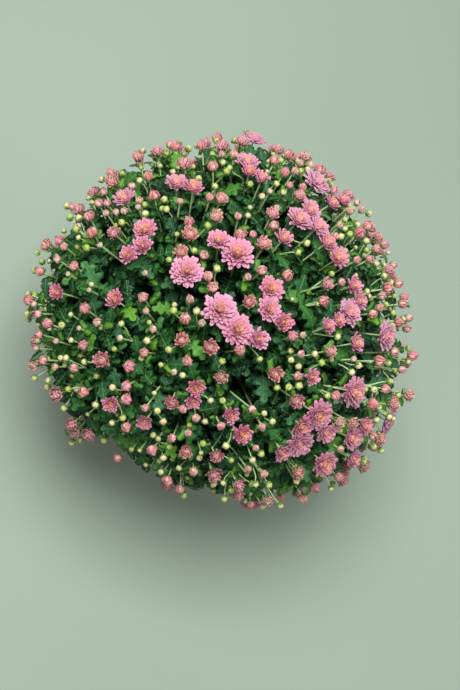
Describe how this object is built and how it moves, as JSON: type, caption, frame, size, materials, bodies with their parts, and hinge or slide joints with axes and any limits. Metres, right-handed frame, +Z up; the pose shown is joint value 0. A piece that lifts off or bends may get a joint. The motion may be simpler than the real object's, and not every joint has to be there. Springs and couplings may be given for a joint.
{
  "type": "pot chrysanthemum",
  "caption": "Flowering pot chrysanthemum: a dense dome of lobed leaves, round buds and layered pink blooms on leafy shoots, growing from soil in a plain tapered pot.",
  "frame": {"origin": "middle of the pot's foot, on the surface that the pot stands on", "axes": "+Z up the pot's axis; +X and +Y level, +X roughly to the right and +Y roughly up in the picture"},
  "size_m": [0.4344, 0.4258, 0.3991],
  "materials": {
    "petal": "matt, velvety pink petals, paler at their tips and coral to yellow at the eye",
    "foliage": "soft matt green leaves and stalks with paler veins",
    "pot_plastic": "plain moulded terracotta-coloured plastic, slightly satin",
    "potting_soil": "dark crumbly peat"
  },
  "bodies": {
    "root": {"bloom_01": "petal", "bloom_02": "petal", "bloom_03": "petal", "bloom_04": "petal", "bloom_05": "petal", "bloom_06": "petal", "bloom_07": "petal", "bloom_08": "petal", "bloom_09": "petal", "bloom_10": "petal", "bloom_11": "petal", "bloom_12": "petal", "bloom_13": "petal", "bloom_14": "petal", "bloom_15": "petal", "bloom_16": "petal", "bloom_17": "petal", "bloom_18": "petal", "bloom_19": "petal", "bloom_20": "petal", "bloom_21": "petal", "bloom_22": "petal", "bloom_23": "petal", "bloom_24": "petal", "bloom_25": "petal", "bloom_26": "petal", "bloom_27": "petal", "bloom_28": "petal", "bloom_29": "petal", "bloom_30": "petal", "bloom_31": "petal", "bloom_32": "petal", "bloom_33": "petal", "bloom_34": "petal", "bloom_35": "petal", "bloom_36": "petal", "bloom_37": "petal", "bloom_38": "petal", "bloom_39": "petal", "pot": "pot_plastic", "shoot_01": "foliage", "shoot_02": "foliage", "shoot_03": "foliage", "shoot_04": "foliage", "shoot_05": "foliage", "shoot_06": "foliage", "shoot_07": "foliage", "shoot_08": "foliage", "shoot_09": "foliage", "shoot_10": "foliage", "shoot_11": "foliage", "shoot_12": "foliage", "shoot_13": "foliage", "shoot_14": "foliage", "soil": "potting_soil"}
  },
  "joints": []
}
